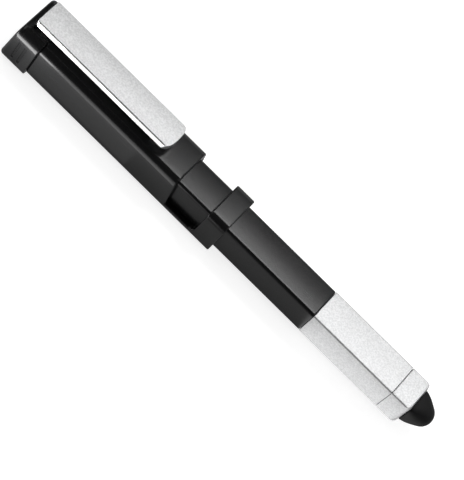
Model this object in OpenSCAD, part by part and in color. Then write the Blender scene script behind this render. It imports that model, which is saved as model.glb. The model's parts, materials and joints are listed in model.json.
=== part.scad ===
// Square multi-tool pen: ballpoint on a sliding barrel, phone slot, stylus cap and end light.
// Lengths run along +X from the upper edge of the end cap's outer face, and the clip faces +Z.

/* [Sleeve] */
// Width of the outer sleeve across the pen
sleeve_w = 13.8; // [12.8:0.1:17]
// Height of the outer sleeve, from its back to the clip side
sleeve_h = 14.4; // [14:0.1:18]
// Radius of the sleeve's long edges
sleeve_edge_r = 2.2; // [0.8:0.1:2.6]
// Length of the sleeve from the end cap to the phone slot
sleeve_len = 48.25; // [44:0.25:70]
// Length of the collar below the phone slot
collar_len = 6.1; // [4:0.1:12]

/* [Phone slot] */
// Length of the slot's mouth along the pen
slot_len = 11.5; // [8:0.1:16]
// Lean of the slot's back wall, in degrees
slot_lean = 7; // [0:1:15]
// Radius of the slot's corner beside the collar
slot_corner_r = 1.9; // [0.4:0.1:2.5]
// Height of the strip left under the slot
strip_t = 2.8; // [2:0.1:3.4]

/* [End cap] */
// Length of the end cap on its clip side
end_cap_len = 7.5; // [7:0.1:12]
// Lean of the end cap's outer face, in degrees
end_lean = 4; // [0:1:8]
// How far the end cap stands proud of the sleeve's sides
cap_side_proud = 0.95; // [0.3:0.05:1.2]
// How far the end cap stands proud of the sleeve's back and clip side
cap_face_proud = 0.95; // [0.3:0.05:1.2]
// Radius of the end cap's long edges
cap_edge_r = 3.1; // [1:0.1:3.4]
// Radius along the lower edge of the end cap's outer face
cap_end_r = 1.1; // [0.3:0.1:1.4]
// Radius round the end cap's rim
cap_rim_r = 0.3; // [0.1:0.05:0.6]
// Thickness of the end cap's end wall
end_wall_t = 1.8; // [1.4:0.1:2.2]
// Step of the sleeve's spigot under the end cap
spigot_step = 0.45; // [0.3:0.05:0.7]
// Side wall of the spigot
spigot_wall = 1; // [0.7:0.05:1.1]
// Width of the end cap's notch round the clip's foot
notch_w = 8.7; // [5:0.1:9.2]
// Start of the notch from the outer face's upper edge
notch_start = 2.1; // [1.6:0.1:2.6]
// Centre of the first grip groove from the outer face's upper edge
grip_start = 2.5; // [2:0.1:4]
// Spacing of the two grip grooves
grip_pitch = 2; // [1.2:0.1:2.4]
// Width of a grip groove
grip_w = 0.65; // [0.4:0.05:1]
// Length of a grip groove across the side
grip_len = 8.2; // [4:0.1:9]
// Depth of a grip groove
grip_depth = 0.3; // [0.1:0.05:0.4]

/* [Clip] */
// Length of the clip
clip_len = 46.4; // [30:0.2:52]
// Width of the clip
clip_w = 8.8; // [7:0.1:11]
// Thickness of the clip
clip_t = 2.2; // [1.2:0.1:2.6]
// Gap between the sleeve and the clip's underside
clip_gap = 2.95; // [2.8:0.05:5]
// Setback of the clip's root from the outer face's upper edge
clip_setback = 2.1; // [1.8:0.1:2.6]
// Radius of the corners at the clip's free end
clip_corner_r = 1.7; // [0.5:0.1:3]
// Radius of the corners at the clip's root
clip_root_r = 0.6; // [0.2:0.1:2]
// Chamfer along the clip's upper edges
clip_chamfer = 0.3; // [0.1:0.05:0.6]
// Width of the clip's foot
foot_w = 4.4; // [3:0.1:4.6]
// Thickness of the clip's foot along the pen
foot_t = 3.2; // [2:0.1:3.6]
// Setback of the foot from the clip's root
foot_setback = 1.5; // [1:0.1:1.8]
// Diameter of the round bead that the foot turns on
bead_d = 1; // [0.7:0.05:1.2]
// Length of the bead across the pen
bead_len = 6.4; // [5:0.1:7]
// Thickness of the sleeve's lip over the bead
bead_lip = 0.7; // [0.5:0.05:0.9]
// Radius of the grip nub under the clip's free end
nub_r = 2.3; // [1.5:0.1:2.6]
// Width of the grip nub across the clip
nub_w = 3; // [2:0.1:5]
// Setback of the grip nub from the clip's free end
nub_setback = 3.4; // [2.8:0.1:8]

/* [Barrel] */
// Side of the square inner barrel
barrel_w = 10.5; // [9.2:0.05:10.6]
// Radius of the barrel's long edges
barrel_edge_r = 0.9; // [0.3:0.1:1.5]
// Length of barrel between the collar and the stylus cap
barrel_show = 31.2; // [24:0.2:45]
// Diameter of the barrel's bore
barrel_bore_d = 6.2; // [5:0.1:6.4]
// Depth of the lug stop behind the slot's mouth
stop_depth = 2.6; // [2.2:0.1:5]
// Thickness of the stop lugs along the pen
lug_t = 1.5; // [0.8:0.1:1.8]
// Width of the stop lugs across the pen
lug_w = 6; // [3:0.2:8]
// How far the stop lugs stand out of the barrel
lug_rise = 0.7; // [0.4:0.05:0.9]
// Length of the rear plug's spigot in the barrel
plug_len = 6; // [4:0.2:8]
// Depth of the refill's seat in the rear plug
seat_depth = 3; // [2:0.1:3.5]

/* [Nose and refill] */
// Diameter of the nose where the stylus cap grips it
nose_grip_d = 7.4; // [7.2:0.05:7.6]
// Length of the nose that the stylus cap grips
nose_grip_len = 7; // [4:0.2:9]
// Length of the nose in front of the barrel
nose_len = 17.6; // [13:0.2:18.6]
// Diameter of the nose at its mouth
nose_tip_d = 3.4; // [2.8:0.1:4.5]
// Diameter of the nose's screw end in the barrel
nose_screw_d = 6.9; // [6.6:0.05:7.1]
// Length of the nose's screw end
nose_screw_len = 6.5; // [4:0.1:10]
// How far the refill's point stands out of the nose
point_out = 2.4; // [1.5:0.1:3]
// Diameter of the refill
refill_d = 2.35; // [2.2:0.05:2.5]
// Wall of the refill tube
refill_wall = 0.35; // [0.2:0.05:0.5]
// Length of the refill's metal point
point_len = 10; // [8:0.2:14]
// Length of the point's stub inside the refill tube
stub_len = 3; // [1.5:0.1:5]
// Length of the point's cone
cone_len = 3.6; // [2.5:0.1:5]
// Diameter of the point's cone at the ball
cone_tip_d = 0.95; // [0.9:0.05:1.3]
// Diameter of the writing ball
ball_d = 0.7; // [0.5:0.05:0.8]
// Air space behind the ink
ink_air = 14; // [4:1:30]

/* [Stylus cap] */
// Side of the square stylus cap
shell_w = 10.5; // [10:0.05:11.4]
// Radius of the stylus cap's long edges
shell_edge_r = 0.9; // [0.3:0.1:1.5]
// Length of the cap's shell
shell_len = 27.8; // [27:0.2:40]
// Wall of the cap's shell
shell_wall = 0.7; // [0.4:0.05:0.8]
// Gap between the cap's liner and the holder's tenon
liner_gap = 0.5; // [0.2:0.1:1.2]
// End wall of the cap's liner
liner_end_t = 1; // [0.6:0.1:1.4]
// Length of the stylus holder below the seam
holder_len = 6.6; // [5:0.1:10]
// Radius of the holder's outer end
holder_end_r = 1.5; // [0.3:0.1:1.7]
// Radius of the holder's edge at the seam
holder_seam_r = 0.3; // [0.1:0.05:0.6]
// Length of the holder's tenon inside the shell
tenon_len = 3; // [2:0.1:3.2]
// Front wall of the holder, which holds the nib
holder_wall = 2.4; // [1.5:0.1:3]
// Width of the seam between the shell and the holder
seam_w = 0.15; // [0.05:0.05:0.4]
// Length of the rubber nib beyond the holder
nib_len = 6.5; // [5:0.1:9]
// Width of the nib's base across its flats
nib_base_w = 8.5; // [7:0.1:8.9]
// Corner radius of the nib's base
nib_base_r = 1.3; // [0.8:0.1:3]
// Taper of the nib's sides, in degrees
nib_taper = 31; // [20:1:36]
// Radius of the nib's blunt tip
nib_tip_r = 3.6; // [2.5:0.1:4]
// Diameter of the nib's stem
stem_d = 5; // [4:0.1:5.4]
// Diameter of the nib's rear flange
nib_flange_d = 6.4; // [6:0.1:6.6]
// Thickness of the nib's rear flange
nib_flange_t = 1; // [0.6:0.1:1.4]
// Diameter of the core's pin
core_pin_d = 2.4; // [1.5:0.1:3]
// How far the core's pin reaches into the nib beyond the holder
core_reach = 2.2; // [1:0.1:3]
// Thickness of the core's disc
core_t = 1.2; // [0.8:0.1:1.8]

/* [Light] */
// Diameter of the lens in the end wall
lens_d = 6; // [5.6:0.1:6.4]
// Recess of the lens below the upper edge of its hole
lens_recess = 0.25; // [0:0.05:0.5]
// Front thickness of the lens
lens_t = 1; // [0.7:0.05:1.2]
// Diameter of the lens flange
lens_flange_d = 7.6; // [7:0.1:7.8]
// Thickness of the lens flange
lens_flange_t = 0.8; // [0.5:0.05:1]
// Travel of the light head when pressed
press_travel = 1.2; // [0.6:0.1:1.6]
// Diameter of the light-emitting diode
led_d = 5; // [4.6:0.1:5.1]
// Length of the diode
led_len = 8.6; // [7:0.1:10]
// Diameter of the diode's rim
led_rim_d = 5.8; // [5.4:0.1:5.9]
// Thickness of the diode's rim
led_rim_t = 1; // [0.6:0.1:1.5]
// Diameter of the diode's two leads
lead_d = 0.5; // [0.3:0.05:0.6]
// Spacing of the diode's leads
lead_pitch = 2.54; // [2:0.02:3]
// Thickness of the light's board
board_t = 1; // [0.6:0.1:1.6]
// Length of the chip resistor
resistor_len = 1.6; // [1:0.1:2]
// Width of the chip resistor
resistor_w = 0.75; // [0.5:0.05:0.8]
// Height of the chip resistor
resistor_h = 0.45; // [0.3:0.05:0.6]
// Diameter of a button cell
cell_d = 7.9; // [7.5:0.1:8]
// Thickness of a button cell
cell_t = 3.6; // [2:0.1:5.4]
// Diameter of the raised pole of a button cell
pole_d = 6; // [4:0.1:6.5]
// Height of the raised pole of a button cell
pole_h = 0.4; // [0.2:0.05:0.6]
// Length of the contact spring at rest
spring_len = 4; // [3.6:0.1:6]
// Mean diameter of the contact spring
spring_d = 4.6; // [3.6:0.1:5.4]
// Wire diameter of the contact spring
wire_d = 0.4; // [0.3:0.05:0.5]
// Number of turns of the contact spring
spring_turns = 4; // [3:1:5]
// Thickness of the contact strip
contact_t = 0.3; // [0.2:0.05:0.35]
// Width of the contact strip
contact_w = 2.4; // [1.5:0.1:3]
// Reach of the strip's lip inside the carrier's bore
lip_reach = 0.7; // [0.4:0.1:1]
// Rear wall of the cell carrier
carrier_wall = 1.2; // [0.8:0.1:2]
// Web between the light's bay and the barrel's bore
web_t = 1.5; // [1:0.1:4]

/* [Fits] */
// Clearance on each side of a sliding fit
slide_fit = 0.06; // [0.03:0.01:0.1]
// Clearance on each side of a fixed fit
seat_fit = 0.05; // [0.02:0.01:0.1]
// Clearance at each end of the clip's foot and bead
foot_play = 0.1; // [0.05:0.01:0.2]
// Clearance round the nib's flange in the holder
flange_play = 0.15; // [0.05:0.05:0.3]
// Gap where two pieces meet end to end
shut_gap = 0.1; // [0.05:0.01:0.2]

/* [Hidden] */
$fn = 64;
over = 1;
least_r = 0.2;

// Stations along the pen
spigot_x0 = end_wall_t + shut_gap;
shoulder_x = end_cap_len + shut_gap;
slot_x0 = shoulder_x + sleeve_len;
slot_x1 = slot_x0 + slot_len;
collar_x1 = slot_x1 + collar_len;
barrel_x1 = collar_x1 + barrel_show;
shell_x0 = barrel_x1 + shut_gap;
shell_x1 = shell_x0 + shell_len;
holder_x0 = shell_x1 + seam_w;
holder_x1 = holder_x0 + holder_len;
pen_len = holder_x1 + nib_len;

// Sections of the sleeve and the end cap
cap_w = sleeve_w + 2 * cap_side_proud;
cap_h = sleeve_h + 2 * cap_face_proud;
spigot_w = sleeve_w - 2 * spigot_step;
spigot_h = sleeve_h - 2 * spigot_step;
spigot_edge_r = max(sleeve_edge_r - spigot_step, least_r);
slot_floor = strip_t - sleeve_h / 2;
end_reach = (cap_h - 2 * cap_end_r) * tan(end_lean);
bore_w = barrel_w + 2 * slide_fit;
bore_edge_r = barrel_edge_r;

// Clip and the pivot of its foot
clip_z0 = sleeve_h / 2 + clip_gap;
clip_x1 = clip_setback + clip_len;
foot_x0 = clip_setback + foot_setback;
bead_x = foot_x0 + foot_t / 2;
bead_z = spigot_h / 2 - bead_lip - seat_fit - bead_d / 2;

// Bay for the light, below the clip's bead
bay_w = spigot_w - 2 * spigot_wall;
bay_h = 2 * (bead_z - bead_d / 2 - seat_fit);

// Light head, cells and carrier
flange_x0 = end_wall_t + seat_fit;
lens_x0 = lens_recess - (cap_h - lens_d) / 2 * tan(end_lean);
led_x0 = lens_x0 + lens_t + shut_gap;
led_x1 = led_x0 + led_len;
board_x1 = led_x1 + board_t;
cell_x0 = board_x1 + spring_len;
cell_count = 3;
cell_x1 = cell_x0 + cell_count * cell_t;
strip_x1 = cell_x1 + contact_t;
carrier_x0 = spigot_x0 + shut_gap;
carrier_x1 = strip_x1 + carrier_wall;
carrier_bore_d = cell_d + 2 * shut_gap;
board_d = carrier_bore_d - 2 * slide_fit;
lip_x0 = board_x1 + press_travel + shut_gap;
bay_x1 = carrier_x1 + seat_fit;
bore_x0 = bay_x1 + web_t;

// Barrel, nose and refill
lug_x0 = slot_x0 - stop_depth + seat_fit;
barrel_x0 = lug_x0 + lug_t;
lug_reach = barrel_w / 2 + lug_rise;
nose_x1 = barrel_x1 + nose_len;
refill_bore_d = refill_d + 2 * seat_fit;
refill_x0 = barrel_x0 + plug_len - seat_depth;
point_x1 = nose_x1 + point_out;
point_x0 = point_x1 - point_len;
ink_d = refill_d - 2 * refill_wall - 2 * seat_fit;
ball_x = point_x1 - ball_d / 2;
ball_rim_x = point_x1 - ball_d / 3;

// Stylus cap
liner_x0 = shell_x0 + shut_gap;
tenon_x0 = shell_x1 - tenon_len;
liner_x1 = tenon_x0 - liner_gap;
socket_w = shell_w - 2 * shell_wall;
socket_edge_r = max(shell_edge_r - shell_wall, least_r);
tenon_w = socket_w - 2 * seat_fit;
wall_x0 = holder_x1 - holder_wall;
nib_flange_x0 = wall_x0 - seat_fit - nib_flange_t;
core_x0 = nib_flange_x0 - seat_fit - core_t;
holder_bore_d = nib_flange_d + 2 * flange_play;

black = "#1a1a1d";
silver = "#d9dadc";
metal = "#b9bcc2";
brass = "#c2a05a";

// The pen lies on its back, centred over the origin
module place() {
    translate([(end_reach - pen_len) / 2, 0, cap_h / 2]) children();
}

module rounded(w, h, r) {
    square([w - 2 * r, h], center = true);
    square([w, h - 2 * r], center = true);
    for (side = [-1, 1], face = [-1, 1])
        translate([side * (w / 2 - r), face * (h / 2 - r)]) circle(r = r);
}

// A section in the YZ plane carried from x0 to x1
module bar(x0, x1) {
    translate([x0, 0, 0]) rotate([90, 0, 90]) linear_extrude(x1 - x0) children();
}

module rod(x0, x1, d) {
    translate([x0, 0, 0]) rotate([0, 90, 0]) cylinder(d = d, h = x1 - x0);
}

module cone(x0, x1, d0, d1) {
    translate([x0, 0, 0]) rotate([0, 90, 0]) cylinder(d1 = d0, d2 = d1, h = x1 - x0);
}

module cross_rod(x, z, d, w) {
    translate([x, w / 2, z]) rotate([90, 0, 0]) cylinder(d = d, h = w);
}

module block(x0, x1, w, z0, z1) {
    translate([x0, -w / 2, z0]) cube([x1 - x0, w, z1 - z0]);
}

// Outline from x0 to x1 whose corners are round at each end
module round_ended(x0, x1, w, r0, r1) {
    translate([x0 + r0, -w / 2]) square([x1 - x0 - r0 - r1, w]);
    translate([x0, r0 - w / 2]) square([r0 + over, w - 2 * r0]);
    translate([x1 - r1 - over, r1 - w / 2]) square([r1 + over, w - 2 * r1]);
    for (side = [-1, 1]) {
        translate([x0 + r0, side * (w / 2 - r0)]) circle(r = r0);
        translate([x1 - r1, side * (w / 2 - r1)]) circle(r = r1);
    }
}

// A bar whose end edges are round as well as its long edges
module soft_bar(x0, x1, w, h, edge_r, r0, r1) {
    intersection() {
        bar(x0, x1) rounded(w, h, edge_r);
        translate([0, 0, -h / 2 - over]) linear_extrude(h + 2 * over) round_ended(x0, x1, w, r0, r1);
        translate([0, w / 2 + over, 0]) rotate([90, 0, 0])
            linear_extrude(w + 2 * over) round_ended(x0, x1, h, r0, r1);
    }
}

// Sleeve

module slot_outline() {
    run = tan(slot_lean);
    depth = sleeve_h / 2 - slot_floor;
    corner_x = slot_x1 - slot_corner_r;
    corner_z = slot_floor + slot_corner_r;
    difference() {
        polygon([
            [slot_x0 - over * run, sleeve_h / 2 + over],
            [slot_x0 + depth * run, slot_floor],
            [slot_x1, slot_floor],
            [slot_x1, sleeve_h / 2 + over]
        ]);
        translate([corner_x, slot_floor - over]) square([slot_corner_r + over, slot_corner_r + over]);
    }
    translate([corner_x, corner_z]) circle(r = slot_corner_r);
}

module clip_socket() {
    groove_d = bead_d + 2 * seat_fit;
    groove_len = bead_len + 2 * foot_play;
    block(spigot_x0 - over, foot_x0 + foot_t + foot_play, foot_w + 2 * foot_play, 0, spigot_h / 2 + over);
    cross_rod(bead_x, bead_z, groove_d, groove_len);
    block(bead_x - groove_d / 2, bead_x + groove_d / 2, groove_len, 0, bead_z);
}

module outer_sleeve() {
    color(black) place() difference() {
        union() {
            bar(shoulder_x, collar_x1) rounded(sleeve_w, sleeve_h, sleeve_edge_r);
            bar(spigot_x0, shoulder_x + over) rounded(spigot_w, spigot_h, spigot_edge_r);
        }
        bar(spigot_x0 - over, bay_x1) square([bay_w, bay_h], center = true);
        bar(bore_x0, collar_x1 + over) rounded(bore_w, bore_w, bore_edge_r);
        bar(lug_x0 - seat_fit, slot_x1)
            square([lug_w + 2 * shut_gap, 2 * (lug_reach + shut_gap)], center = true);
        translate([0, sleeve_w / 2 + over, 0]) rotate([90, 0, 0])
            linear_extrude(sleeve_w + 2 * over) slot_outline();
        clip_socket();
    }
}

// End cap

module grip_groove(x) {
    ends = grip_len / 2 - grip_w / 2;
    translate([x, 0, 0]) rotate([90, 0, 0]) linear_extrude(grip_depth + over) {
        square([grip_w, 2 * ends], center = true);
        translate([0, ends]) circle(d = grip_w);
        translate([0, -ends]) circle(d = grip_w);
    }
}

// The end cap's outer face leans out towards its back
module cap_body() {
    reach = 2 * cap_h;
    difference() {
        soft_bar(-end_reach, end_cap_len, cap_w, cap_h, cap_edge_r, cap_end_r, cap_rim_r);
        translate([0, 0, cap_h / 2]) rotate([0, end_lean, 0]) block(-reach, 0, reach, -reach, reach);
    }
}

module end_cap() {
    color(black) place() difference() {
        cap_body();
        bar(end_wall_t, end_cap_len + over)
            rounded(spigot_w + 2 * seat_fit, spigot_h + 2 * seat_fit, spigot_edge_r);
        rod(-end_reach - over, end_wall_t + over, lens_d + 2 * slide_fit);
        block(notch_start, end_cap_len + over, notch_w, 0, cap_h / 2 + over);
        for (side = [0, 1], i = [0, 1])
            mirror([0, side, 0]) translate([0, grip_depth - cap_w / 2, 0])
                grip_groove(grip_start + i * grip_pitch);
    }
}

// Clip

module pocket_clip() {
    top = clip_z0 + clip_t;
    nub_x = clip_x1 - nub_setback;
    color(silver) place() {
        intersection() {
            translate([0, 0, clip_z0]) linear_extrude(clip_t)
                round_ended(clip_setback, clip_x1, clip_w, clip_root_r, clip_corner_r);
            bar(clip_setback, clip_x1) polygon([
                [-clip_w / 2, clip_z0],
                [clip_w / 2, clip_z0],
                [clip_w / 2, top - clip_chamfer],
                [clip_w / 2 - clip_chamfer, top],
                [clip_chamfer - clip_w / 2, top],
                [-clip_w / 2, top - clip_chamfer]
            ]);
        }
        block(foot_x0, foot_x0 + foot_t, foot_w, bead_z, clip_z0 + clip_t / 2);
        cross_rod(bead_x, bead_z, bead_d, bead_len);
        intersection() {
            cross_rod(nub_x, clip_z0, 2 * nub_r, nub_w);
            block(nub_x - nub_r, nub_x + nub_r, nub_w, clip_z0 - nub_r, clip_z0 + clip_t / 2);
        }
    }
}

// Light head

module torch_lens() {
    color("#e6f0f5") place() difference() {
        union() {
            rod(lens_x0, flange_x0 + lens_flange_t, lens_d);
            rod(flange_x0, flange_x0 + lens_flange_t, lens_flange_d);
        }
        rod(lens_x0 + lens_t, flange_x0 + lens_flange_t + over, led_d + 2 * seat_fit);
    }
}

module leads(x0, x1, d) {
    for (side = [-1, 1]) translate([0, side * lead_pitch / 2, 0]) rod(x0, x1, d);
}

module torch_led() {
    dome_x = led_x0 + led_d / 2;
    color("#f4f6f0") place() {
        translate([dome_x, 0, 0]) sphere(d = led_d);
        rod(dome_x, led_x1, led_d);
        rod(led_x1 - led_rim_t, led_x1, led_rim_d);
        leads(led_x1 - led_rim_t / 2, board_x1, lead_d);
    }
}

module torch_board() {
    color("#2e6b3f") place() difference() {
        rod(led_x1, board_x1, board_d);
        leads(led_x1 - over, board_x1 + over, lead_d + 2 * seat_fit);
    }
}

module board_resistor() {
    top = -led_rim_d / 2 - seat_fit;
    color("#2b2b2b") place() block(led_x1 - resistor_h, led_x1, resistor_len, top - resistor_w, top);
}

// Cells and contacts

function coil_point(a) =
    let (rise = (spring_len - 2 * shut_gap - wire_d) / (360 * spring_turns))
    [board_x1 + shut_gap + wire_d / 2 + a * rise, spring_d / 2 * cos(a), spring_d / 2 * sin(a)];

module contact_spring() {
    sides = 6;
    rings = 8 * spring_turns;
    points = [
        for (i = [0:rings], j = [0:sides - 1])
            let (a = 360 * spring_turns * i / rings)
            let (b = 360 * j / sides)
            let (out = wire_d / 2 * cos(b))
            coil_point(a) + [wire_d / 2 * sin(b), out * cos(a), out * sin(a)]
    ];
    last = rings * sides;
    faces = [
        [for (j = [0:sides - 1]) j],
        [for (j = [0:sides - 1]) last + sides - 1 - j],
        for (i = [0:rings - 1], j = [0:sides - 1])
            let (k = (j + 1) % sides)
            each [
                [i * sides + j, (i + 1) * sides + j, (i + 1) * sides + k],
                [i * sides + j, (i + 1) * sides + k, i * sides + k]
            ]
    ];
    color(metal) place() polyhedron(points, faces);
}

module contact_strip() {
    side_y = carrier_bore_d / 2;
    color(brass) place() {
        rod(cell_x1, strip_x1, cell_d);
        translate([lip_x0, side_y, -contact_w / 2]) cube([strip_x1 - lip_x0, contact_t, contact_w]);
        translate([cell_x1, 0, -contact_w / 2]) cube([contact_t, side_y + contact_t, contact_w]);
        translate([lip_x0, side_y - lip_reach, -contact_w / 2])
            cube([contact_t, lip_reach + contact_t, contact_w]);
    }
}

module cell_carrier() {
    groove_y = carrier_bore_d / 2 + contact_t + seat_fit;
    groove_w = contact_w + 2 * seat_fit;
    color("#d8d4c8") place() difference() {
        bar(carrier_x0, carrier_x1) square([bay_w - 2 * seat_fit, bay_h - 2 * seat_fit], center = true);
        rod(carrier_x0 - over, strip_x1, carrier_bore_d);
        translate([carrier_x0 - over, 0, -groove_w / 2])
            cube([strip_x1 - carrier_x0 + over, groove_y, groove_w]);
    }
}

module button_cell(i) {
    x0 = cell_x0 + i * cell_t;
    color(metal) place() {
        rod(x0, x0 + pole_h, pole_d);
        rod(x0 + pole_h, x0 + cell_t, cell_d);
    }
}

module button_cell_1() {
    button_cell(0);
}

module button_cell_2() {
    button_cell(1);
}

module button_cell_3() {
    button_cell(2);
}

// Barrel and nose

module inner_barrel() {
    color(black) place() difference() {
        bar(barrel_x0, barrel_x1) rounded(barrel_w, barrel_w, barrel_edge_r);
        rod(barrel_x0 - over, barrel_x1 + over, barrel_bore_d);
        rod(barrel_x1 - nose_screw_len - seat_fit, barrel_x1 + over, nose_screw_d + 2 * seat_fit);
    }
}

module barrel_plug() {
    color(black) place() difference() {
        union() {
            bar(lug_x0, barrel_x0) rounded(barrel_w, barrel_w, barrel_edge_r);
            bar(lug_x0, barrel_x0) square([lug_w, 2 * lug_reach], center = true);
            rod(barrel_x0 - lug_t / 2, barrel_x0 + plug_len, barrel_bore_d - 2 * seat_fit);
        }
        rod(refill_x0, barrel_x0 + plug_len + over, refill_bore_d);
    }
}

module nose_section() {
    grip_x1 = barrel_x1 + nose_grip_len;
    color(black) place() difference() {
        union() {
            rod(barrel_x1 - nose_screw_len, barrel_x1 + over, nose_screw_d);
            rod(barrel_x1, grip_x1, nose_grip_d);
            cone(grip_x1, nose_x1, nose_grip_d, nose_tip_d);
        }
        rod(barrel_x1 - nose_screw_len - over, nose_x1 + over, refill_bore_d);
    }
}

// Refill

module refill_tube() {
    color("#cfd3d6") place() difference() {
        rod(refill_x0, point_x0, refill_d);
        rod(refill_x0 - over, point_x0 + over, refill_d - 2 * refill_wall);
    }
}

module refill_ink() {
    color("#14234f") place() rod(refill_x0 + ink_air, point_x0 - stub_len, ink_d);
}

module refill_point() {
    color(brass) place() difference() {
        union() {
            rod(point_x0 - stub_len, point_x0 + over, ink_d);
            rod(point_x0, point_x1 - cone_len, refill_d);
            cone(point_x1 - cone_len, ball_rim_x, refill_d, cone_tip_d);
        }
        translate([ball_x, 0, 0]) sphere(d = ball_d + 2 * seat_fit);
    }
}

module refill_ball() {
    color(metal) place() translate([ball_x, 0, 0]) sphere(d = ball_d);
}

// Stylus cap

module cap_shell() {
    color(silver) place() difference() {
        bar(shell_x0, shell_x1) rounded(shell_w, shell_w, shell_edge_r);
        bar(shell_x0 - over, shell_x1 + over) rounded(socket_w, socket_w, socket_edge_r);
    }
}

module cap_liner() {
    color("#2a2a2d") place() difference() {
        bar(liner_x0, liner_x1) rounded(tenon_w, tenon_w, socket_edge_r);
        rod(liner_x0 - over, liner_x1 - liner_end_t, nose_grip_d + 2 * seat_fit);
    }
}

module stylus_holder() {
    color(silver) place() difference() {
        union() {
            soft_bar(holder_x0, holder_x1, shell_w, shell_w, shell_edge_r, holder_seam_r, holder_end_r);
            bar(tenon_x0, holder_x0 + over) rounded(tenon_w, tenon_w, socket_edge_r);
        }
        rod(tenon_x0 - over, wall_x0, holder_bore_d);
        rod(wall_x0 - over, holder_x1 + over, stem_d + 2 * seat_fit);
    }
}

module nib_core() {
    color("#3a3a3d") place() {
        rod(core_x0, core_x0 + core_t, holder_bore_d - 2 * seat_fit);
        rod(core_x0, holder_x1 + core_reach, core_pin_d);
    }
}

module stylus_nib() {
    steps = 12;
    tip_z = nib_len - nib_tip_r;
    base_r = nib_tip_r / cos(nib_taper) + tip_z * tan(nib_taper);
    color("#242427") place() difference() {
        union() {
            intersection() {
                translate([holder_x1, 0, 0]) rotate([0, 90, 0]) rotate_extrude() polygon([
                    [0, 0],
                    [base_r, 0],
                    for (i = [0:steps])
                        let (a = nib_taper + (90 - nib_taper) * i / steps)
                        [nib_tip_r * cos(a), tip_z + nib_tip_r * sin(a)]
                ]);
                bar(holder_x1, pen_len + over) rounded(nib_base_w, nib_base_w, nib_base_r);
            }
            rod(nib_flange_x0, holder_x1 + over, stem_d);
            rod(nib_flange_x0, nib_flange_x0 + nib_flange_t, nib_flange_d);
        }
        rod(nib_flange_x0 - over, holder_x1 + core_reach + seat_fit, core_pin_d + 2 * seat_fit);
    }
}

outer_sleeve();
end_cap();
pocket_clip();
torch_lens();
torch_led();
torch_board();
board_resistor();
contact_spring();
contact_strip();
cell_carrier();
button_cell_1();
button_cell_2();
button_cell_3();
inner_barrel();
barrel_plug();
nose_section();
refill_tube();
refill_ink();
refill_point();
refill_ball();
cap_shell();
cap_liner();
stylus_holder();
nib_core();
stylus_nib();
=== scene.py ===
import json
import math

import bmesh
import bpy
from mathutils import Matrix, Vector


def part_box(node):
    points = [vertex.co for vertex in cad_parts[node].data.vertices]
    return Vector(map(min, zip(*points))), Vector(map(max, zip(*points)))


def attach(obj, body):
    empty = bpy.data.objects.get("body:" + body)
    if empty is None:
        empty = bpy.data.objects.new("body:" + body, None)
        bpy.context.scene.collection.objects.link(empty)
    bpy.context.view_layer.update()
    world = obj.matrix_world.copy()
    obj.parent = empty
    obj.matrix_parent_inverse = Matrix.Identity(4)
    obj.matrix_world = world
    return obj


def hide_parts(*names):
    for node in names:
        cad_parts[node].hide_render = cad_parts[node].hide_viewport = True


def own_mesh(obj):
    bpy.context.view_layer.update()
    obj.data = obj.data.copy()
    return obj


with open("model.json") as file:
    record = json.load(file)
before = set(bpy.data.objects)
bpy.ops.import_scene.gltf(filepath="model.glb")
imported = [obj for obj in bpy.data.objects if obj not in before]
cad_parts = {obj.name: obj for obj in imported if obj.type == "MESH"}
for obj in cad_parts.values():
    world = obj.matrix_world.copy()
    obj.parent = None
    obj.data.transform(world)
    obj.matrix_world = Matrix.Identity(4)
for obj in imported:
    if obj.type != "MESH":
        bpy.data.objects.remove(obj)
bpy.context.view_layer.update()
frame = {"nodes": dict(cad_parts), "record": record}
scene = bpy.context.scene
scene.view_settings.view_transform = "Standard"
mm = 0.001
slack = {"weld": mm / 1000, "cut": mm / 10000, "skin": mm / 100}
sharpTurn = math.radians(35)  # an edge that turns more than this gets rounded
axisHeight = sum(corner.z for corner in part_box("inner_barrel")) / 2  # the pen's axis over the floor
print("frame loaded:", len(frame["nodes"]), "nodes")

# Camera at the photograph's angle
photoView = {
    "azimuth": -1.0,  # degrees
    "elevation": 58.3,
    "roll": 45.4,
    "distance": 662.0,  # mm from the point aimed at
    "aim": (3.70, -2.85, 8.15),
    "focalPixels": 2571,
    "imageHeight": 480,
    "sensor": 36,
    "clipStart": 10,
}


def placeCamera(setup):
    turn, tilt, roll = (math.radians(setup[key]) for key in ("azimuth", "elevation", "roll"))
    toCamera = Vector((math.sin(turn) * math.cos(tilt), -math.cos(turn) * math.cos(tilt), math.sin(tilt)))
    right = Vector((math.cos(turn), math.sin(turn), 0))
    up = toCamera.cross(right)
    imageRight = math.cos(roll) * right + math.sin(roll) * up
    imageUp = math.cos(roll) * up - math.sin(roll) * right
    place = Matrix((imageRight, imageUp, toCamera)).transposed().to_4x4()
    place.translation = (Vector(setup["aim"]) + toCamera * setup["distance"]) * mm
    camera = bpy.data.objects.new("photoCamera", bpy.data.cameras.new("photoCamera"))
    camera.data.sensor_width = setup["sensor"]
    camera.data.lens = setup["sensor"] * setup["focalPixels"] / setup["imageHeight"]
    camera.data.clip_start = setup["clipStart"] * mm
    camera.matrix_world = place
    scene.collection.objects.link(camera)
    scene.camera = camera


placeCamera(photoView)
print("camera placed")


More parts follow.
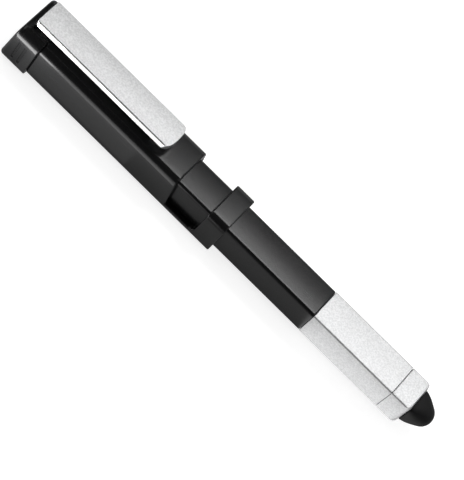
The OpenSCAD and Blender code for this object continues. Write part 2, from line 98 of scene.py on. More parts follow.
# Node trees are written as expressions on these two
class Wire:
    def __init__(self, tree, socket):
        self.tree = tree
        self.socket = socket

    def calc(self, operation, first, second=None):
        step = self.tree.nodes.new("ShaderNodeMath")
        step.operation = operation
        feed(self.tree, step.inputs[0], first)
        feed(self.tree, step.inputs[1], second)
        return Wire(self.tree, step.outputs[0])

    def __add__(self, other):
        return self.calc("ADD", self, other)

    def __radd__(self, other):
        return self.calc("ADD", other, self)

    def __sub__(self, other):
        return self.calc("SUBTRACT", self, other)

    def __rsub__(self, other):
        return self.calc("SUBTRACT", other, self)

    def __mul__(self, other):
        return self.calc("MULTIPLY", self, other)

    def __truediv__(self, other):
        return self.calc("DIVIDE", self, other)

    def __rtruediv__(self, other):
        return self.calc("DIVIDE", other, self)

    def __pow__(self, other):
        return self.calc("POWER", self, other)

    def __abs__(self):
        return self.calc("ABSOLUTE", self)


def feed(tree, socket, value):
    if isinstance(value, Wire):
        tree.links.new(value.socket, socket)
    elif value is not None:
        socket.default_value = value


class Bench:
    def __init__(self, tree):
        self.tree = tree
        tree.nodes.clear()

    def add(self, kind, settings=None, sockets=None, out=0):
        made = self.tree.nodes.new(kind)
        for name, value in (settings or {}).items():
            setattr(made, name, value)
        for name, value in (sockets or {}).items():
            feed(self.tree, made.inputs[name], value)
        return Wire(self.tree, made.outputs[out]) if len(made.outputs) else None

    def millimetres(self):
        spot = self.add("ShaderNodeTexCoord", out="Object")
        return self.add("ShaderNodeVectorMath", {"operation": "SCALE"}, {0: spot, "Scale": 1 / mm})

    def part(self, spot, axis):
        return self.add("ShaderNodeSeparateXYZ", None, {0: spot}, out=axis)

    def stretch(self, spot, along):  # pattern drawn out along the pen
        return self.add("ShaderNodeVectorMath", {"operation": "MULTIPLY"}, {0: spot, 1: (1 / along, 1, 1)})

    def noise(self, spot, grain, detail=2.0, rough=0.5):
        sockets = {"Vector": spot, "Scale": 1 / grain, "Detail": detail, "Roughness": rough}
        return self.add("ShaderNodeTexNoise", None, sockets)

    def ramp(self, value, low, high):  # 0 to 1 between low and high
        sockets = {"Value": value, "From Min": low, "From Max": high}
        return self.add("ShaderNodeMapRange", {"interpolation_type": "SMOOTHSTEP"}, sockets)

    def tint(self, share, first, second):
        sockets = {0: share, 6: (*first, 1), 7: (*second, 1)}
        return self.add("ShaderNodeMix", {"data_type": "RGBA"}, sockets, out=2)

    def bump(self, height, strength, depth):  # depth in mm
        return self.add("ShaderNodeBump", None, {"Height": height, "Strength": strength, "Distance": depth * mm})


def newFinish(name):
    material = bpy.data.materials.new(name)
    material.use_nodes = True
    return material, Bench(material.node_tree)


def surface(bench, sockets):
    shader = bench.add("ShaderNodeBsdfPrincipled", None, sockets)
    bench.add("ShaderNodeOutputMaterial", None, {"Surface": shader})


# Floor, lamps and the room they stand in
studio = {
    "floorSize": 8000,  # mm
    "floorShade": 0.45,
    "mottle": 0.01,  # either side of the shade
    "mottleGrain": 40,
    "floorGlow": 0.82,
    "mirroredGlow": 0.2,  # as metal and glass show it
    "skyLow": 0.7,
    "skyFront": 0.1,  # low, behind the camera
    "skyTurn": (-0.3, 0.3),
    "skyHigh": 0.08,
    "skyRamp": (0.02, 0.32),
    "lamps": {  # place, point aimed at and size in mm, radiance
        "backSoftbox": {"place": (105, 320, 830), "aim": (0, 0, 8), "size": (340, 170), "radiance": 14.5},
        "backFill": {"place": (60, 800, 420), "aim": (0, 0, 8), "size": (700, 400), "radiance": 1.4},
        "leftSoftbox": {"place": (-620, 0, 790), "aim": (0, 0, 8), "size": (700, 700), "radiance": 1.5},
        "rightSoftbox": {"place": (620, 0, 790), "aim": (0, 0, 8), "size": (700, 700), "radiance": 1.5},
        "rightBack": {"place": (590, 420, 345), "aim": (0, 0, 8), "size": (400, 400), "radiance": 0.9},
        "lowPanel": {"place": (-55, -57, 1), "aim": (-55, -57, 100), "size": (78, 78), "radiance": 2.7},
        "lowNear": {"place": (-49, -15, 1), "aim": (-49, -15, 100), "size": (38, 13), "radiance": 0.24},
        "lowCorner": {"place": (-84, -43, 2), "aim": (-84, -43, 100), "size": (44, 50), "radiance": 10.0},
        "lowFront": {"place": (-38, -160, 14), "aim": (-38, 0, 14), "size": (70, 44), "radiance": 2.4},
        "lowRight": {"place": (60, -12, 1), "aim": (60, -12, 100), "size": (56, 13), "radiance": 1.02},
    },
}


def layFloor(setup):
    half = setup["floorSize"] * mm / 2
    mesh = bpy.data.meshes.new("studioFloor")
    mesh.from_pydata([(-half, -half, 0), (half, -half, 0), (half, half, 0), (-half, half, 0)], [], [(0, 1, 2, 3)])
    floor = bpy.data.objects.new("studioFloor", mesh)
    scene.collection.objects.link(floor)
    material, bench = newFinish("paleFloor")
    spot = bench.millimetres()
    shade, mottle = setup["floorShade"], setup["mottle"]
    share = bench.noise(spot, setup["mottleGrain"])
    colour = bench.tint(share, (shade - mottle,) * 3, (shade + mottle,) * 3)
    card = bench.add("ShaderNodeBsdfDiffuse", None, {"Color": colour})
    seen = bench.add("ShaderNodeLightPath", out="Is Camera Ray")
    mirrored = bench.add("ShaderNodeLightPath", out="Is Glossy Ray")
    through = bench.add("ShaderNodeLightPath", out="Is Transmission Ray")
    strength = seen * setup["floorGlow"] + (mirrored + through) * setup["mirroredGlow"]
    glow = bench.add("ShaderNodeEmission", None, {"Strength": strength})
    both = bench.add("ShaderNodeAddShader", None, {0: card, 1: glow})
    bench.add("ShaderNodeOutputMaterial", None, {"Surface": both})
    mesh.materials.append(material)


def hangLamps(setup):
    for name, lamp in setup["lamps"].items():
        width, height = (side * mm for side in lamp["size"])
        light = bpy.data.lights.new(name, "AREA")
        light.shape = "RECTANGLE"
        light.size, light.size_y = width, height
        light.energy = lamp["radiance"] * math.pi * width * height
        hung = bpy.data.objects.new(name, light)
        hung.location = Vector(lamp["place"]) * mm
        hung.rotation_mode = "QUATERNION"
        hung.rotation_quaternion = (Vector(lamp["aim"]) - Vector(lamp["place"])).to_track_quat("-Z", "Y")
        hung.visible_camera = False
        scene.collection.objects.link(hung)


def paintRoom(setup):
    world = bpy.data.worlds.new("studioRoom")
    world.use_nodes = True
    bench = Bench(world.node_tree)
    spot = bench.add("ShaderNodeTexCoord", out="Generated")
    back = bench.ramp(bench.part(spot, "Y"), *setup["skyTurn"])
    rise = bench.ramp(bench.part(spot, "Z"), *setup["skyRamp"])
    low = setup["skyFront"] + back * (setup["skyLow"] - setup["skyFront"])
    level = low + rise * (setup["skyHigh"] - low)
    air = bench.add("ShaderNodeBackground", None, {"Strength": level})
    bench.add("ShaderNodeOutputWorld", None, {"Surface": air})
    scene.world = world


layFloor(studio)
hangLamps(studio)
paintRoom(studio)
print("studio set up")


# Finishes, with their grains in mm
mouldFlow = {"along": 12, "grain": 2.2, "detail": 3, "rough": 0.08}  # streaks left by the mould
mouldRubs = {"along": 40, "grain": 0.25, "ramp": (0.62, 0.75)}  # hairlines from use


def moulded(name, look):
    material, bench = newFinish(name)
    spot = bench.millimetres()
    flow = bench.noise(bench.stretch(spot, mouldFlow["along"]), mouldFlow["grain"], mouldFlow["detail"])
    peel = bench.noise(spot, look["peelGrain"])
    fine = bench.noise(spot, look["fineGrain"], 1)
    hairs = bench.noise(bench.stretch(spot, mouldRubs["along"]), mouldRubs["grain"])
    rubbed = bench.ramp(hairs, *mouldRubs["ramp"])
    colour = bench.tint(flow, look["dark"], look["light"])
    uneven = (flow - 0.5) * mouldFlow["rough"]
    rough = look["rough"] + uneven + (fine - 0.5) * look["fineRough"] + rubbed * look["rub"]
    height = peel * look["peel"] + fine * look["fine"]
    surface(bench, {
        "Base Color": colour,
        "Roughness": rough,
        "IOR": look["index"],
        "Normal": bench.bump(height, 1.0, look["relief"]),
    })
    return material


glossBlack = moulded("glossBlack", {
    "dark": (0.003, 0.003, 0.0032), "light": (0.006, 0.006, 0.0064),
    "rough": 0.24, "fineRough": 0.05, "rub": 0.03, "index": 1.38,
    "peelGrain": 1.6, "peel": 0.5, "fineGrain": 0.12, "fine": 0.05, "relief": 0.006,
})
satinBlack = moulded("satinBlack", {
    "dark": (0.003, 0.003, 0.0032), "light": (0.006, 0.006, 0.0064),
    "rough": 0.23, "fineRough": 0.05, "rub": 0.03, "index": 1.38,
    "peelGrain": 0.9, "peel": 0.4, "fineGrain": 0.1, "fine": 0.2, "relief": 0.008,
})
linerBlack = moulded("linerBlack", {
    "dark": (0.018, 0.018, 0.02), "light": (0.03, 0.03, 0.032),
    "rough": 0.45, "fineRough": 0.12, "rub": 0.05, "index": 1.46,
    "peelGrain": 0.7, "peel": 0.4, "fineGrain": 0.1, "fine": 0.2, "relief": 0.01,
})
nibRubber = moulded("nibRubber", {
    "dark": (0.004, 0.004, 0.0042), "light": (0.008, 0.008, 0.0084),
    "rough": 0.58, "fineRough": 0.2, "rub": 0.04, "index": 1.25,
    "peelGrain": 0.5, "peel": 0.3, "fineGrain": 0.08, "fine": 0.35, "relief": 0.012,
})
milkyPlastic = moulded("milkyPlastic", {
    "dark": (0.62, 0.61, 0.56), "light": (0.74, 0.73, 0.69),
    "rough": 0.4, "fineRough": 0.1, "rub": 0.04, "index": 1.5,
    "peelGrain": 1.0, "peel": 0.4, "fineGrain": 0.1, "fine": 0.1, "relief": 0.008,
})
inkPaste = moulded("inkPaste", {
    "dark": (0.008, 0.014, 0.07), "light": (0.014, 0.026, 0.12),
    "rough": 0.25, "fineRough": 0.05, "rub": 0.0, "index": 1.45,
    "peelGrain": 1.5, "peel": 0.4, "fineGrain": 0.2, "fine": 0.1, "relief": 0.006,
})
chipBlack = moulded("chipBlack", {
    "dark": (0.02, 0.02, 0.02), "light": (0.05, 0.05, 0.05),
    "rough": 0.5, "fineRough": 0.15, "rub": 0.0, "index": 1.5,
    "peelGrain": 0.3, "peel": 0.3, "fineGrain": 0.05, "fine": 0.3, "relief": 0.006,
})


blastBroad = {"along": 5, "grain": 6, "share": 0.25}
blastSpeck = {"detail": 3, "fade": 0.65, "ramp": (0.3, 0.7), "rough": 0.2}
blastPit = {"ramp": (0.55, 0.7), "rough": 0.06, "depth": 0.4}


def blasted(name, look):
    material, bench = newFinish(name)
    spot = bench.millimetres()
    broad = bench.noise(bench.stretch(spot, blastBroad["along"]), blastBroad["grain"])
    speck = bench.noise(spot, look["speckGrain"], blastSpeck["detail"], blastSpeck["fade"])
    pit = bench.ramp(bench.noise(spot, look["pitGrain"]), *blastPit["ramp"])
    share = bench.ramp(speck, *blastSpeck["ramp"]) * (1 - blastBroad["share"]) + broad * blastBroad["share"]
    colour = bench.tint(share, look["dark"], look["light"])
    rough = look["rough"] + (speck - 0.5) * blastSpeck["rough"] + pit * blastPit["rough"]
    surface(bench, {
        "Base Color": colour,
        "Metallic": look["metallic"],
        "Roughness": rough,
        "Normal": bench.bump(speck - pit * blastPit["depth"], 1.0, look["relief"]),
    })
    return material


blastedSilver = blasted("blastedSilver", {
    "dark": (0.49, 0.493, 0.497), "light": (0.73, 0.732, 0.735), "metallic": 1.0,
    "rough": 0.54, "speckGrain": 0.45, "pitGrain": 0.5, "relief": 0.006,
})
# a lighter, smoother copy of the blasted silver for the clip's sides: the smoother polish is real, the extra lightness
# is a painted highlight
polishedSilverPaintedHighlight = blasted("polishedSilverPaintedHighlight", {
    "dark": (0.84, 0.845, 0.85), "light": (0.93, 0.932, 0.935), "metallic": 1.0,
    "rough": 0.3, "speckGrain": 0.4, "pitGrain": 0.8, "relief": 0.002,
})
platedSteel = blasted("platedSteel", {
    "dark": (0.55, 0.555, 0.57), "light": (0.68, 0.685, 0.7), "metallic": 1.0,
    "rough": 0.25, "speckGrain": 0.3, "pitGrain": 0.8, "relief": 0.003,
})
plainBrass = blasted("plainBrass", {
    "dark": (0.6, 0.43, 0.16), "light": (0.74, 0.57, 0.27), "metallic": 1.0,
    "rough": 0.28, "speckGrain": 0.3, "pitGrain": 0.7, "relief": 0.003,
})


def clearMoulding(name, look):
    material, bench = newFinish(name)
    spot = bench.millimetres()
    wave = bench.noise(spot, look["waveGrain"])
    fine = bench.noise(spot, look["fineGrain"], 1)
    surface(bench, {
        "Base Color": bench.tint(wave, look["dark"], look["light"]),
        "Roughness": look["rough"] + (fine - 0.5) * look["fineRough"],
        "IOR": look["index"],
        "Transmission Weight": look["clear"],
        "Normal": bench.bump(wave, 1.0, look["relief"]),
    })
    return material


clearLens = clearMoulding("clearLens", {
    "dark": (0.88, 0.92, 0.94), "light": (0.95, 0.98, 1.0), "rough": 0.08, "fineRough": 0.06,
    "clear": 0.92, "index": 1.5, "waveGrain": 1.5, "fineGrain": 0.15, "relief": 0.004,
})


def solderMask(name, look):
    material, bench = newFinish(name)
    spot = bench.millimetres()
    across = bench.part(spot, "Y")
    up = bench.part(spot, "Z") - axisHeight / mm
    reach = (across * across + up * up) ** 0.5
    pads = 1 - bench.ramp(abs(abs(across) - look["padPitch"] / 2) + abs(up), *look["padEdge"])
    track = 1 - bench.ramp(abs(reach - look["ringRadius"]), *look["ringEdge"])
    copper = pads.calc("MAXIMUM", pads, track)
    weave = bench.noise(bench.stretch(spot, look["weaveAlong"]), look["weaveGrain"])
    green = bench.tint(weave, look["dark"], look["light"])
    sockets = {0: copper, 6: green, 7: (*look["tin"], 1)}
    colour = bench.add("ShaderNodeMix", {"data_type": "RGBA"}, sockets, out=2)
    surface(bench, {
        "Base Color": colour,
        "Metallic": pads,
        "Roughness": look["rough"] + (weave - 0.5) * look["weaveRough"],
        "Normal": bench.bump(copper + weave * look["weave"], 1.0, look["relief"]),
    })
    return material


boardGreen = solderMask("boardGreen", {
    "dark": (0.03, 0.13, 0.05), "light": (0.05, 0.19, 0.08), "tin": (0.7, 0.7, 0.68),
    "padPitch": 2.54, "padEdge": (0.55, 0.65), "ringRadius": 3.4, "ringEdge": (0.18, 0.22),
    "rough": 0.35, "weaveRough": 0.1, "weaveAlong": 3, "weaveGrain": 0.3, "weave": 0.1, "relief": 0.02,
})
print("finishes mixed")


# Pieces cut from the CAD nodes
def copyNode(node, name):
    piece = bpy.data.objects.new(name, frame["nodes"][node].data.copy())
    scene.collection.objects.link(piece)
    return piece


def weld(work, flat=math.radians(1)):
    bmesh.ops.remove_doubles(work, verts=work.verts, dist=slack["weld"])
    bmesh.ops.dissolve_limit(work, angle_limit=flat, verts=work.verts, edges=work.edges)


def cutAcross(work, where, normal, geom=None):  # new vertices where a plane meets the piece
    geom = geom or work.verts[:] + work.edges[:] + work.faces[:]
    bmesh.ops.bisect_plane(work, geom=geom, dist=slack["cut"], plane_co=where, plane_no=normal)


def crown(work, half, swell, cuts):  # faces swell a little across, so long reflections fade from edge to edge
    for axis, reach in ((1, half.y), (2, half.z)):
        normal = Vector((0, axis == 1, axis == 2))
        middle = Vector((0, 0, axisHeight))
        for cut in range(1, cuts):
            cutAcross(work, middle + normal * reach * (2 * cut / cuts - 1), normal)
    for vert in work.verts:
        across, up = vert.co.y / half.y, (vert.co.z - axisHeight) / half.z
        vert.co.y -= swell * across * up * up
        vert.co.z -= swell * up * across * across


def fromSkin(spot, half, radius):  # how deep a point lies under a round-edged bar's skin, and the way out
    away = Vector((0, abs(spot.y) - half.y + radius, abs(spot.z - axisHeight) - half.z + radius))
    if away.y > 0 and away.z > 0:
        outwards = away.normalized()
    else:
        outwards = Vector((0, away.y > away.z, away.y <= away.z))
    depth = radius - away.dot(outwards)
    outwards.y = math.copysign(outwards.y, spot.y)
    outwards.z = math.copysign(outwards.z, spot.z - axisHeight)
    return depth, outwards


def softEnd(work, half, corner, lean, radius, steps=8):  # rounds the rim of the leaning outer face, ring by ring
    outer = Vector((-math.cos(lean), 0, math.sin(lean)))
    plane = max(vert.co.dot(outer) for vert in work.verts)
    for step in range(1, steps + 1):
        cutAcross(work, outer * (plane - radius * (1 - math.cos(math.pi / 2 * step / steps))), outer)
    for vert in work.verts:
        behind = max(plane - vert.co.dot(outer), 0)
        if behind < radius:
            inset = radius - math.sqrt(radius ** 2 - (radius - behind) ** 2)
            depth, outwards = fromSkin(vert.co, half, corner)
            vert.co -= outwards * max(inset - depth, 0)


def drawOut(along, across, radius, tight):  # from a round corner to a tighter one, measured from the round one's centre
    if along <= 0 or across <= 0:
        return along, across
    size = math.hypot(along, across)
    longer, shorter = max(along, across) / size, min(along, across) / size
    flat = radius - tight
    reach = radius / longer  # on the square outline
    if reach * shorter > flat:  # on the tighter arc
        lead = flat * (longer + shorter)
        reach = lead + math.sqrt(lead ** 2 - 2 * flat ** 2 + tight ** 2)
    share = reach / max(size, radius)
    return along * share, across * share


def tighten(work, half, radius, tight):  # the long edges
    inner = half - Vector((radius, radius, radius))
    for vert in work.verts:
        across, up = vert.co.y, vert.co.z - axisHeight
        wide, tall = drawOut(abs(across) - inner.y, abs(up) - inner.z, radius, tight)
        vert.co.y = math.copysign(inner.y + wide, across)
        vert.co.z = axisHeight + math.copysign(inner.z + tall, up)


def tightenRim(work, high, half, radius, tight):  # the far end's rim, above and below
    for vert in work.verts:
        up = vert.co.z - axisHeight
        out, tall = drawOut(vert.co.x - high + radius, abs(up) - half.z + radius, radius, tight)
        vert.co.x = high - radius + out
        vert.co.z = axisHeight + math.copysign(half.z - radius + tall, up)


def roundPlan(work, high, half, radius, rings):  # the far end's corners, seen from above
    for ring in range(rings):
        cutAcross(work, Vector((high - radius * (1 - ring / rings / 2), 0, 0)), Vector((1, 0, 0)))
    for vert in work.verts:
        out, wide = vert.co.x - high + radius, abs(vert.co.y) - half.y + radius
        size = math.hypot(out, wide)
        if out > 0 and wide > 0 and size > radius:
            vert.co.x = high - radius + out * radius / size
            vert.co.y = math.copysign(half.y - radius + wide * radius / size, vert.co.y)


def isSharp(edge):
    return len(edge.link_faces) == 2 and edge.is_convex and edge.calc_face_angle() > sharpTurn


def sharpOutside(work, half, radius):  # the sharp edges on the piece's outer skin
    skin = {vert for vert in work.verts if abs(fromSkin(vert.co, half, radius)[0]) < slack["skin"]}
    return [edge for edge in work.edges if isSharp(edge) and all(vert in skin for vert in edge.verts)]


def grooveEdges(work, half, reach):  # the rims of the grip grooves, in the middle of the two sides
    sides = {
        vert for vert in work.verts
        if abs(abs(vert.co.y) - half.y) < slack["skin"] and abs(vert.co.z - axisHeight) < reach
    }
    return [edge for edge in work.edges if isSharp(edge) and all(vert in sides for vert in edge.verts)]


def roundEdges(work, edges, width, steps=3):
    bmesh.ops.bevel(
        work, geom=edges, offset=width, offset_type="OFFSET", segments=steps, profile=0.5,
        affect="EDGES", clamp_overlap=False, miter_outer="ARC",
    )


def settle(piece, finish, sharp=40):
    mesh = piece.data
    mesh.materials.clear()
    mesh.materials.append(finish)
    mesh.shade_smooth()
    mesh.set_sharp_from_angle(angle=math.radians(sharp))
    even = piece.modifiers.new("evenNormals", "WEIGHTED_NORMAL")
    even.keep_sharp = True
    bakeDown(piece)


def bakeDown(piece):
    bpy.context.view_layer.update()
    seen = piece.evaluated_get(bpy.context.evaluated_depsgraph_get())
    mesh = bpy.data.meshes.new_from_object(seen)
    piece.modifiers.clear()
    piece.data = mesh
    mesh.name = piece.name


def standFor(piece, node):
    body = next(body for body, nodes in frame["record"]["behaviour"]["bodies"].items() if node in nodes)
    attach(piece, body)
    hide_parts(node)


def squareBar(node, name, look, finish):
    piece = copyNode(node, name)
    low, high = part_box(node)
    half = (high - low) / 2
    work = bmesh.new()
    work.from_mesh(piece.data)
    weld(work)
    if "rim" in look:
        softEnd(work, half, look["corner"] * mm, math.radians(look["lean"]), look["rim"] * mm)
    if "groove" in look:
        roundEdges(work, grooveEdges(work, half, look["groove"]["reach"] * mm), look["groove"]["edge"] * mm)
    roundEdges(work, sharpOutside(work, half, look["corner"] * mm), look["edge"] * mm)
    if "end" in look:
        tightenRim(work, high.x, half, look["end"]["radius"] * mm, look["end"]["tight"] * mm)
    if "tight" in look:
        tighten(work, half, look["corner"] * mm, look["tight"] * mm)
    if "end" in look:
        roundPlan(work, high.x, half, look["end"]["plan"] * mm, look["end"]["rings"])
    crown(work, half, look["swell"] * mm, look["cuts"])
    work.to_mesh(piece.data)
    work.free()
    settle(piece, finish)
    standFor(piece, node)


sleeveLook = {"corner": 2.2, "edge": 0.36, "swell": 0.12, "cuts": 8}  # mm
squareBar("outer_sleeve", "sleeveBody", sleeveLook, glossBlack)
barrelLook = {"corner": 0.9, "edge": 0.32, "swell": 0.1, "cuts": 8}
squareBar("inner_barrel", "barrelBody", barrelLook, glossBlack)
endCapLook = {"corner": 3.1, "edge": 0.16, "swell": 0.1, "cuts": 8, "rim": 1.1, "lean": 4,
              "groove": {"reach": 4.2, "edge": 0.28}}
squareBar("end_cap", "endCap", endCapLook, satinBlack)
shellLook = {"corner": 0.9, "tight": 0.45, "edge": 0.12, "swell": 0.13, "cuts": 8}
squareBar("cap_shell", "stylusShell", shellLook, blastedSilver)
holderLook = {"corner": 0.9, "tight": 0.45, "edge": 0.08, "swell": 0.13, "cuts": 8,
              "end": {"radius": 1.5, "tight": 0.6, "plan": 2.2, "rings": 6}}
squareBar("stylus_holder", "stylusHolder", holderLook, blastedSilver)
print("square pieces eased")


def bowTop(work, bow):  # the clip's face bows a little across, its free end arches
    high = max(vert.co.z for vert in work.verts)
    end = max(vert.co.x for vert in work.verts)
    reach = max(vert.co.y for vert in work.verts)
    square = 0.99  # a face counts as facing an axis from here
    for cut in range(1, bow["cuts"]):
        faces = [
            face for face in work.faces
            if (face.normal.z > square and face.calc_center_median().z > high - slack["skin"])
            or (face.normal.x > square and face.calc_center_median().x > end - slack["skin"])
        ]
        edges = list({edge for face in faces for edge in face.edges})
        verts = list({vert for face in faces for vert in face.verts})
        where = Vector((0, reach * (2 * cut / bow["cuts"] - 1), 0))
        cutAcross(work, where, Vector((0, 1, 0)), faces + edges + verts)
    for vert in work.verts:
        if vert.co.z > high - bow["depth"] * mm:
            vert.co.z -= bow["drop"] * mm * (vert.co.y / reach) ** 2
        near = 1 - (end - vert.co.x) / (bow["reach"] * mm)
        vert.co.x -= bow["arch"] * mm * max(near, 0) * (vert.co.y / reach) ** 2


def softened(node, name, look, finish, steps=2):
    piece = copyNode(node, name)
    work = bmesh.new()
    work.from_mesh(piece.data)
    weld(work)
    if "bow" in look:
        bowTop(work, look["bow"])
    work.to_mesh(piece.data)
    work.free()
    if look["edge"]:
        ease = piece.modifiers.new("ease", "BEVEL")
        ease.width = look["edge"] * mm
        ease.segments = steps
        ease.limit_method = "ANGLE"
        ease.angle_limit = sharpTurn
        bakeDown(piece)
    settle(piece, finish)
    standFor(piece, node)


smallPieces = {  # name: node, finish, slot, edge in mm
    "clipBar": ("pocket_clip", blastedSilver, "silver", 0.05),
    "plugWithLugs": ("barrel_plug", satinBlack, "black_satin", 0.1),
    "noseCone": ("nose_section", satinBlack, "black_satin", 0.12),
    "refillTube": ("refill_tube", milkyPlastic, "natural_plastic", 0.05),
    "refillPoint": ("refill_point", plainBrass, "brass", 0.03),
    "refillBall": ("refill_ball", platedSteel, "steel", 0),
    "capLiner": ("cap_liner", linerBlack, "liner", 0.1),
    "lensButton": ("torch_lens", clearLens, "clear", 0.08),
    "diode": ("torch_led", clearLens, "clear", 0.05),
    "cellCarrier": ("cell_carrier", milkyPlastic, "natural_plastic", 0.08),
    "cellOne": ("button_cell_1", platedSteel, "steel", 0.12),
    "cellTwo": ("button_cell_2", platedSteel, "steel", 0.12),
    "cellThree": ("button_cell_3", platedSteel, "steel", 0.12),
}
clipBow = {"cuts": 10, "drop": 0.28, "depth": 0.5, "arch": 0.55, "reach": 3}  # mm
for name, (node, finish, slot, edge) in smallPieces.items():
    look = {"edge": edge, "bow": clipBow} if node == "pocket_clip" else {"edge": edge}
    softened(node, name, look, finish)


def plateLeads(mesh, lead):  # the diode's legs are plated steel
    mesh.materials.append(platedSteel)
    for face in mesh.polygons:
        off = math.hypot(abs(face.center.y) - lead["pitch"] * mm / 2, face.center.z - axisHeight)
        if off < lead["reach"] * mm and face.center.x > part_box("torch_board")[0].x:
            face.material_index = 1


def polishSidesPaintedHighlight(mesh, steep):  # the clip's cut edges are smoother than its blasted face; their brighter colour is a painted highlight for the light they catch
    mesh.materials.append(polishedSilverPaintedHighlight)
    for face in mesh.polygons:
        if abs(face.normal.z) < steep and face.center.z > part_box("end_cap")[1].z:
            face.material_index = 1


clipSteep = 0.8  # faces whose normals rise less than this are its sides
# the clip's sides get the lighter silver, a painted highlight on top of their real polish
polishSidesPaintedHighlight(bpy.data.objects["clipBar"].data, clipSteep)
diodeLead = {"pitch": 2.54, "reach": 0.3}  # mm
plateLeads(bpy.data.objects["diode"].data, diodeLead)
print("small pieces eased")


# Pieces grown by a rule
def newRule(name, sizes):
    tree = bpy.data.node_groups.new(name, "GeometryNodeTree")
    bench = Bench(tree)
    tree.interface.new_socket("Geometry", in_out="OUTPUT", socket_type="NodeSocketGeometry")
    for key, value in sizes.items():
        kind = "NodeSocketInt" if isinstance(value, int) else "NodeSocketFloat"
        tree.interface.new_socket(key, in_out="INPUT", socket_type=kind)
    return bench, {key: bench.add("NodeGroupInput", out=key) for key in sizes}


def endRule(bench, shape, finish):
    whole = bench.add("GeometryNodeRealizeInstances", None, {0: shape})
    painted = bench.add("GeometryNodeSetMaterial", None, {"Geometry": whole, "Material": finish})
    bench.add("NodeGroupOutput", None, {"Geometry": painted})


def grow(name, tree, sizes):
    piece = bpy.data.objects.new(name, bpy.data.meshes.new(name))
    scene.collection.objects.link(piece)
    rule = piece.modifiers.new("rule", "NODES")
    rule.node_group = tree
    for item in tree.interface.items_tree:
        if item.in_out == "INPUT":
            rule[item.identifier] = sizes[item.name]
    bakeDown(piece)
    return piece


def coilRule(sizes):
    bench, size = newRule("coilRule", sizes)
    path = bench.add("GeometryNodeCurveSpiral", None, {
        "Resolution": size["Points Per Turn"], "Rotations": size["Turns"],
        "Start Radius": size["Radius"], "End Radius": size["Radius"], "Height": size["Length"],
    })
    spot = bench.add("GeometryNodeInputPosition")
    along, across, up = (bench.part(spot, axis) for axis in ("Z", "X", "Y"))
    laid = bench.add("ShaderNodeCombineXYZ", None, {
        "X": along + size["Start"], "Y": across, "Z": up + size["Height"],
    })
    path = bench.add("GeometryNodeSetPosition", None, {"Geometry": path, "Position": laid})
    section = bench.add("GeometryNodeCurvePrimitiveCircle", None, {
        "Resolution": size["Wire Points"], "Radius": size["Wire"],
    })
    wire = bench.add("GeometryNodeCurveToMesh", None, {"Curve": path, "Profile Curve": section, "Fill Caps": True})
    endRule(bench, wire, platedSteel)
    return bench.tree


springLow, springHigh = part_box("contact_spring")
wireRadius = 0.2 * mm
springSizes = {
    "Points Per Turn": 32, "Turns": 4.0, "Radius": (springHigh.y - springLow.y) / 2 - wireRadius,
    "Wire": wireRadius, "Wire Points": 12,
    "Length": springHigh.x - springLow.x - 2 * wireRadius, "Start": springLow.x + wireRadius, "Height": axisHeight,
}
coil = grow("contactCoil", coilRule(springSizes), springSizes)
standFor(coil, "contact_spring")
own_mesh(coil)


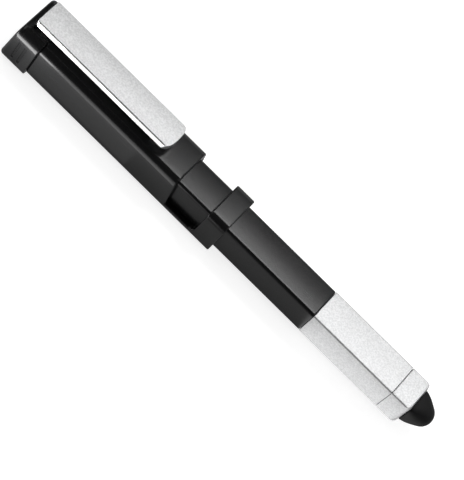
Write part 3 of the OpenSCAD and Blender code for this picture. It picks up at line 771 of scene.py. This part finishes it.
def nibRule(sizes):
    bench, size = newRule("nibRule", sizes)
    sheet = bench.add("GeometryNodeMeshGrid", None, {
        "Size X": 1.0, "Size Y": 1.0, "Vertices X": size["Rows"], "Vertices Y": size["Turns"],
    })
    spot = bench.add("GeometryNodeInputPosition")
    rise = (bench.part(spot, "X") + 0.5) * (math.pi / 2)
    along = rise.calc("SINE", rise)
    angle = bench.part(spot, "Y") * (2 * math.pi)
    across, up = angle.calc("COSINE", angle), angle.calc("SINE", angle)
    reach = size["Length"] * along
    tip = size["Tip Radius"]
    past = reach - (size["Length"] - tip)  # beyond the tip ball's centre
    inside = tip * tip - past * past
    ball = inside.calc("MAXIMUM", inside, 0.0) ** 0.5
    flank = tip / size["Taper Cosine"] - past * size["Taper Slope"]
    onBall = past.calc("GREATER_THAN", past, tip * size["Taper Sine"])
    dome = ball * onBall + flank * (1 - onBall)
    power = size["Square Power"]
    square = size["Half Width"] * (abs(across) ** power + abs(up) ** power) ** (-1 / power)
    blend = size["Blend"]
    radius = dome * square / (dome ** blend + square ** blend) ** (1 / blend)
    laid = bench.add("ShaderNodeCombineXYZ", None, {
        "X": size["Start"] + reach, "Y": radius * across, "Z": radius * up + size["Height"],
    })
    skin = bench.add("GeometryNodeSetPosition", None, {"Geometry": sheet, "Position": laid})
    skin = bench.add("GeometryNodeMergeByDistance", None, {"Geometry": skin, "Distance": slack["weld"]})
    endRule(bench, skin, nibRubber)
    return bench.tree


def stemRings(work, stem, start):  # the nib's rear, ring by ring from its base to the bottom of its bore
    edges = [edge for edge in work.edges if edge.is_boundary]
    spots = {vert for edge in edges for vert in edge.verts}
    angles = sorted(math.atan2(vert.co.z - axisHeight, vert.co.y) for vert in spots)
    for along, radius in stem:
        ring = [
            work.verts.new((start + along * mm, radius * mm * math.cos(a), axisHeight + radius * mm * math.sin(a)))
            for a in angles
        ]
        added = [work.edges.new((ring[i - 1], ring[i])) for i in range(len(ring))]
        bmesh.ops.bridge_loops(work, edges=edges + added)
        edges = added
    work.faces.new(ring)
    bmesh.ops.recalc_face_normals(work, faces=work.faces)


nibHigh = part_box("stylus_nib")[1]
nibLength = 6.5 * mm
nibBase = nibHigh.x - nibLength
nibTaper = math.radians(31)
nibSizes = {
    "Rows": 33, "Turns": 97, "Length": nibLength, "Start": nibBase, "Height": axisHeight,
    "Tip Radius": 3.6 * mm, "Taper Sine": math.sin(nibTaper), "Taper Cosine": math.cos(nibTaper),
    "Taper Slope": math.tan(nibTaper), "Half Width": 4.25 * mm, "Square Power": 7.35, "Blend": 9.0,
}
nibStem = [(0, 2.5), (-2.45, 2.5), (-2.45, 3.2), (-3.45, 3.2), (-3.45, 1.25), (2.25, 1.25)]  # mm from the base, radius
nib = grow("rubberNib", nibRule(nibSizes), nibSizes)
nibWork = bmesh.new()
nibWork.from_mesh(nib.data)
stemRings(nibWork, nibStem, nibBase)
nibWork.to_mesh(nib.data)
nibWork.free()
settle(nib, nibRubber)
standFor(nib, "stylus_nib")
print("coil and nib grown")

plainNodes = {
    "torch_board": boardGreen, "board_resistor": chipBlack, "contact_strip": plainBrass,
    "refill_ink": inkPaste, "nib_core": linerBlack,
}
for node, finish in plainNodes.items():
    for slot in frame["nodes"][node].material_slots:
        slot.material = finish
print("plain nodes painted")
